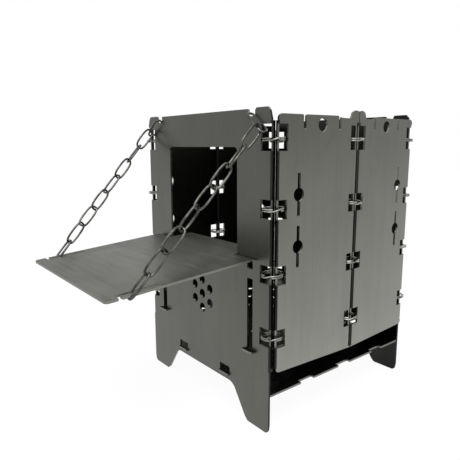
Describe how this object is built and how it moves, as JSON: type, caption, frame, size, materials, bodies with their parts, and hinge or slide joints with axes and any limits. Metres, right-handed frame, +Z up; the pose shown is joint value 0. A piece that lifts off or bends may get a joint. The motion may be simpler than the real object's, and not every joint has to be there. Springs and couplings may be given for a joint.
{
  "type": "pocket wood stove",
  "caption": "Folding sheet-steel wood stove with hinged side leaves on split rings, a fire door, and a fuel shelf held level by chains.",
  "frame": {"origin": "on the ground, midway between the feet of the front and back panels", "axes": "+X to the stove's right side, +Y to the back, -Y to the front with the fuel shelf, +Z up"},
  "size_m": [0.1774, 0.2673, 0.2225],
  "materials": {
    "panel_steel": "brushed up and down, satin",
    "shelf_steel": "brushed, with light scuffs",
    "inner_steel": "brushed, satin",
    "ring_steel": "polished wire",
    "chain_steel": "polished wire"
  },
  "bodies": {
    "stove_body": {"front_panel": "panel_steel", "back_panel": "panel_steel", "floor_plate": "inner_steel", "fire_grate": "inner_steel", "right_front_leaf": "panel_steel", "right_rear_leaf": "panel_steel", "left_front_leaf": "panel_steel", "left_rear_leaf": "panel_steel", "right_front_rings": "ring_steel", "right_seam_rings": "ring_steel", "right_rear_rings": "ring_steel", "left_front_rings": "ring_steel", "left_seam_rings": "ring_steel", "left_rear_rings": "ring_steel", "right_chain_hook": "chain_steel", "left_chain_hook": "chain_steel"},
    "shelf": {"fuel_shelf": "shelf_steel", "right_chain_link_8": "chain_steel", "left_chain_link_8": "chain_steel"},
    "right_chain_upper": {"right_chain_link_1": "chain_steel", "right_chain_link_2": "chain_steel", "right_chain_link_3": "chain_steel", "right_chain_link_4": "chain_steel"},
    "right_chain_lower": {"right_chain_link_5": "chain_steel", "right_chain_link_6": "chain_steel", "right_chain_link_7": "chain_steel"},
    "left_chain_upper": {"left_chain_link_1": "chain_steel", "left_chain_link_2": "chain_steel", "left_chain_link_3": "chain_steel", "left_chain_link_4": "chain_steel"},
    "left_chain_lower": {"left_chain_link_5": "chain_steel", "left_chain_link_6": "chain_steel", "left_chain_link_7": "chain_steel"}
  },
  "joints": [
    {"name": "shelf_tilt", "type": "hinge", "parent": "stove_body", "child": "shelf", "pos_m": [0, -0.0765, 0.12175], "axis": [-1, 0, 0], "range_deg": [0, 28]},
    {"name": "right_chain_upper_swing", "type": "hinge", "parent": "stove_body", "child": "right_chain_upper", "pos_m": [0.0689, -0.0824, 0.20922], "axis": [-1, 0, 0], "range_deg": [-20.17, 0]},
    {"name": "right_chain_lower_swing", "type": "hinge", "parent": "shelf", "child": "right_chain_lower", "pos_m": [0.06133, -0.1584, 0.12694], "axis": [-1, 0, 0], "range_deg": [0, 42.01]},
    {"name": "left_chain_upper_swing", "type": "hinge", "parent": "stove_body", "child": "left_chain_upper", "pos_m": [-0.0689, -0.0824, 0.20922], "axis": [-1, 0, 0], "range_deg": [-20.17, 0]},
    {"name": "left_chain_lower_swing", "type": "hinge", "parent": "shelf", "child": "left_chain_lower", "pos_m": [-0.06133, -0.1584, 0.12694], "axis": [-1, 0, 0], "range_deg": [0, 42.01]}
  ],
  "couplings": [
    {"joint": "right_chain_upper_swing", "follows": "shelf_tilt", "ratio": -0.72},
    {"joint": "right_chain_lower_swing", "follows": "shelf_tilt", "ratio": 1.5},
    {"joint": "left_chain_upper_swing", "follows": "shelf_tilt", "ratio": -0.72},
    {"joint": "left_chain_lower_swing", "follows": "shelf_tilt", "ratio": 1.5}
  ]
}
